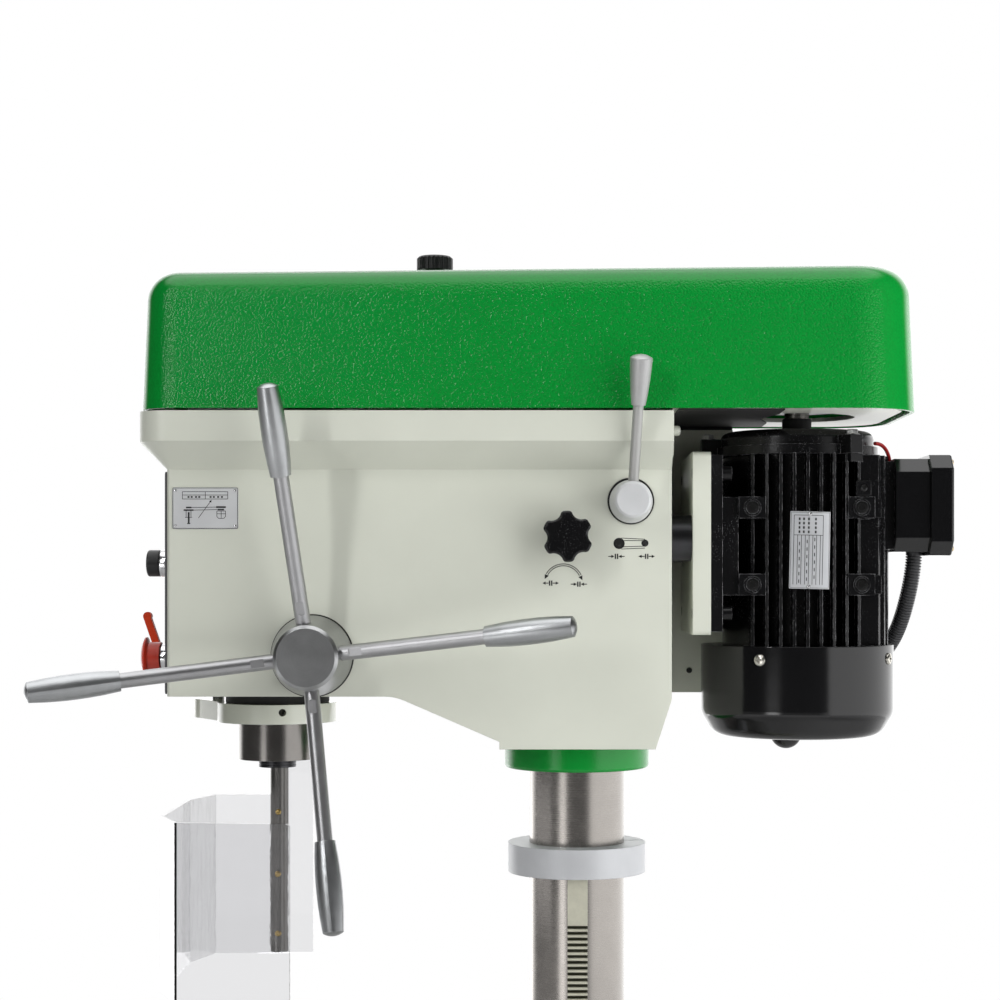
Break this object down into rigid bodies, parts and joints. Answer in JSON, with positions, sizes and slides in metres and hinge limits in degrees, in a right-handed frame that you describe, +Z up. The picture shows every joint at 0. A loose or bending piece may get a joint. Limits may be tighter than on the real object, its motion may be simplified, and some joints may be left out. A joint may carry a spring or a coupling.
{
  "type": "pillar drill",
  "caption": "Floor-standing pillar drill with a belt-driven quill head, cross feed handle, sliding motor, clear swing guard and a rack-lifted tilting table.",
  "frame": {"origin": "on the floor under the column axis, on the underside of the base", "axes": "+Z up along the column, -X towards the operator and the spindle, +X towards the motor, -Y towards the side with the feed handle"},
  "size_m": [0.859, 0.43, 1.7195],
  "materials": {
    "cream_paint": "satin warm off-white enamel on cast iron and steel plate",
    "cream_iron": "off-white enamel on cast iron",
    "green_paint": "satin green enamel",
    "green_cover": "green leather-grain moulding",
    "ground_steel": "ground bright steel",
    "dark_steel": "blackened steel",
    "zinc_steel": "bright zinc-plated steel",
    "cast_grey": "grey machined cast iron",
    "machined_iron": "planed cast iron",
    "satin_alloy": "satin turned aluminium",
    "pulley_alloy": "turned aluminium",
    "motor_alloy": "semi-gloss black paint on finned aluminium",
    "black_paint": "semi-gloss black paint",
    "black_panel": "dark satin panel",
    "black_gloss": "gloss black moulding",
    "black_plastic": "matt black moulding",
    "conduit_plastic": "dark corrugated conduit",
    "black_rubber": "black rubber",
    "red_plastic": "red moulding",
    "clear_plastic": "clear polycarbonate sheet"
  },
  "bodies": {
    "frame": {"base_plate": "cream_paint", "column_foot": "cream_paint", "foot_bolts": "zinc_steel", "column": "ground_steel", "head_casting": "cream_paint", "head_collar": "green_paint", "rack_ring": "cast_grey", "belt_tray": "cream_paint", "front_panel": "black_panel", "electrical_box": "cream_paint", "spring_housing": "black_paint", "return_spring": "ground_steel", "cover_hinge_pins": "zinc_steel", "guard_switch_box": "black_plastic", "pulley_bearings": "ground_steel", "drive_belt": "black_rubber", "quill_bumper": "black_rubber"},
    "quill_set": {"quill": "ground_steel", "quill_collar": "cream_paint", "depth_rod": "zinc_steel", "depth_nuts": "zinc_steel", "quill_bearings": "ground_steel"},
    "spindle_set": {"spindle": "dark_steel", "spindle_nut": "dark_steel"},
    "drive_pulley": {"spindle_pulley": "pulley_alloy", "drive_sleeve": "ground_steel"},
    "motor_carriage": {"motor_plate": "cream_paint", "slide_bars": "dark_steel", "motor_foot": "black_paint", "motor_housing": "motor_alloy", "motor_endshields": "motor_alloy", "stator": "dark_steel", "fan_cover": "black_gloss", "motor_bolts": "black_paint", "terminal_box": "black_gloss", "terminal_box_lid": "black_gloss", "conduit": "conduit_plastic"},
    "rotor": {"rotor_shaft": "ground_steel", "motor_pulley": "pulley_alloy", "cooling_fan": "black_plastic"},
    "feed_handle": {"pinion_shaft": "ground_steel", "feed_hub": "satin_alloy", "feed_arms": "zinc_steel", "feed_grips": "satin_alloy"},
    "tension_lever": {"tension_hub": "satin_alloy", "tension_rod": "zinc_steel", "tension_grip": "satin_alloy"},
    "slide_lock": {"lock_knob": "black_plastic"},
    "cover": {"belt_cover": "green_cover"},
    "cover_thumb": {"cover_knob": "black_plastic"},
    "guard": {"guard_post": "zinc_steel", "guard_shield": "clear_plastic"},
    "rack_bar": {"rack": "ground_steel"},
    "bracket": {"table_bracket": "cream_iron"},
    "crank": {"table_crank": "zinc_steel"},
    "clamp": {"table_clamp": "zinc_steel"},
    "work_table": {"table": "machined_iron"},
    "selector": {"selector_knob": "black_plastic"},
    "e_stop": {"e_stop_button": "red_plastic"},
    "paddle": {"start_paddle": "red_plastic"}
  },
  "joints": [
    {"name": "quill_feed", "type": "slide", "parent": "frame", "child": "quill_set", "axis": [0, 0, -1], "range_m": [0, 0.12], "stiffness_N_per_m": 1200, "springref_m": -0.12},
    {"name": "spindle_turn", "type": "hinge", "parent": "quill_set", "child": "spindle_set", "pos_m": [-0.291, 0, 1.33], "axis": [0, 0, 1], "continuous": true},
    {"name": "pulley_turn", "type": "hinge", "parent": "frame", "child": "drive_pulley", "pos_m": [-0.291, 0, 1.33], "axis": [0, 0, 1], "continuous": true},
    {"name": "motor_slide", "type": "slide", "parent": "frame", "child": "motor_carriage", "axis": [1, 0, 0], "range_m": [-0.012, 0]},
    {"name": "rotor_turn", "type": "hinge", "parent": "motor_carriage", "child": "rotor", "pos_m": [0.214, 0, 1.43], "axis": [0, 0, 1], "continuous": true},
    {"name": "feed_turn", "type": "hinge", "parent": "frame", "child": "feed_handle", "pos_m": [-0.2465, -0.1, 1.335], "axis": [0, -1, 0], "range_deg": [-1, 492.11]},
    {"name": "tension_turn", "type": "hinge", "parent": "frame", "child": "tension_lever", "pos_m": [0.049, -0.1, 1.478], "axis": [0, 1, 0], "range_deg": [-1, 51.93]},
    {"name": "lock_turn", "type": "hinge", "parent": "frame", "child": "slide_lock", "pos_m": [-0.01, -0.12, 1.445], "axis": [0, -1, 0], "range_deg": [0, 120]},
    {"name": "cover_open", "type": "hinge", "parent": "frame", "child": "cover", "pos_m": [-0.12, 0.138, 1.562], "axis": [-1, 0, 0], "range_deg": [0, 95]},
    {"name": "cover_knob_turn", "type": "hinge", "parent": "cover", "child": "cover_thumb", "pos_m": [-0.138, 0, 1.71], "axis": [0, 0, 1], "continuous": true},
    {"name": "guard_swing", "type": "hinge", "parent": "frame", "child": "guard", "pos_m": [-0.303, 0.104, 1.2], "axis": [0, 0, 1], "range_deg": [-110, 0]},
    {"name": "table_swing", "type": "hinge", "parent": "frame", "child": "rack_bar", "pos_m": [0, 0, 0.67], "axis": [0, 0, 1], "range_deg": [-180, 180]},
    {"name": "table_lift", "type": "slide", "parent": "rack_bar", "child": "bracket", "axis": [0, 0, 1], "range_m": [-0.35, 0.12]},
    {"name": "crank_turn", "type": "hinge", "parent": "bracket", "child": "crank", "pos_m": [0.08, -0.06925, 0.67], "axis": [1, 0, 0], "range_deg": [-563.26, 1639.02]},
    {"name": "clamp_turn", "type": "hinge", "parent": "bracket", "child": "clamp", "pos_m": [0.04, 0.09, 0.67], "axis": [1, 0, 0], "range_deg": [0, 80]},
    {"name": "table_tilt", "type": "hinge", "parent": "bracket", "child": "work_table", "pos_m": [-0.17, 0, 0.67], "axis": [1, 0, 0], "range_deg": [-45, 45]},
    {"name": "selector_turn", "type": "hinge", "parent": "frame", "child": "selector", "pos_m": [-0.39, -0.055, 1.421], "axis": [-1, 0, 0], "range_deg": [-60, 60]},
    {"name": "stop_push", "type": "slide", "parent": "frame", "child": "e_stop", "axis": [1, 0, 0], "range_m": [0, 0.005], "stiffness_N_per_m": 600, "springref_m": -0.006},
    {"name": "paddle_turn", "type": "hinge", "parent": "frame", "child": "paddle", "pos_m": [-0.4007, 0.004, 1.318], "axis": [0, 1, 0], "range_deg": [0, 16], "stiffness_Nm_per_rad": 0.2, "springref_deg": -17.19}
  ],
  "couplings": [
    {"joint": "feed_turn", "follows": "quill_feed", "rad_per_m": 71.429},
    {"joint": "tension_turn", "follows": "motor_slide", "rad_per_m": -74.074},
    {"joint": "pulley_turn", "follows": "rotor_turn", "ratio": 0.72603},
    {"joint": "spindle_turn", "follows": "rotor_turn", "ratio": 0.72603},
    {"joint": "crank_turn", "follows": "table_lift", "rad_per_m": -81.633}
  ]
}
